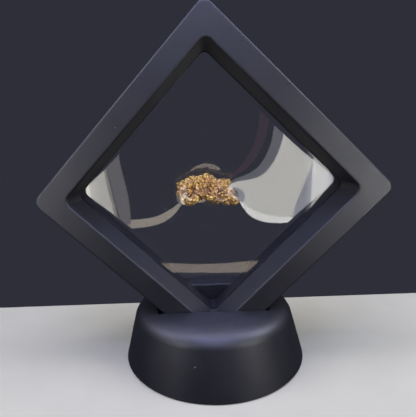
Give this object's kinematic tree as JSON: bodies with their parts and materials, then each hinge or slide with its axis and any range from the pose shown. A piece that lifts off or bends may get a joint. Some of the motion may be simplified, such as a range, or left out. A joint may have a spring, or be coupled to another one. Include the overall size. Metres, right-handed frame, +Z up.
{
  "type": "framed gold nugget",
  "caption": "Lumpy native gold nugget held between clear stretch films in a square black frame that stands on a corner in a round stand",
  "frame": {"origin": "on the table under the middle of the frame, at the bottom centre of the bounding box", "axes": "+Z up, +X to the right of someone facing the front film, -Y towards the viewer; the frame is a square turned 45 degrees in the XZ plane"},
  "size_m": [0.097, 0.0558, 0.1005],
  "materials": {
    "native_gold": "rough natural gold, bright on its lumps and brown in its pits",
    "frame_plastic": "satin black moulded plastic with a fine grain",
    "stand_plastic": "satin black moulded plastic",
    "clear_film": "clear glossy stretch film"
  },
  "bodies": {
    "root": {"gold_nugget": "native_gold", "front_frame": "frame_plastic", "back_frame": "frame_plastic", "front_film": "clear_film", "back_film": "clear_film", "stand": "stand_plastic"}
  },
  "joints": []
}
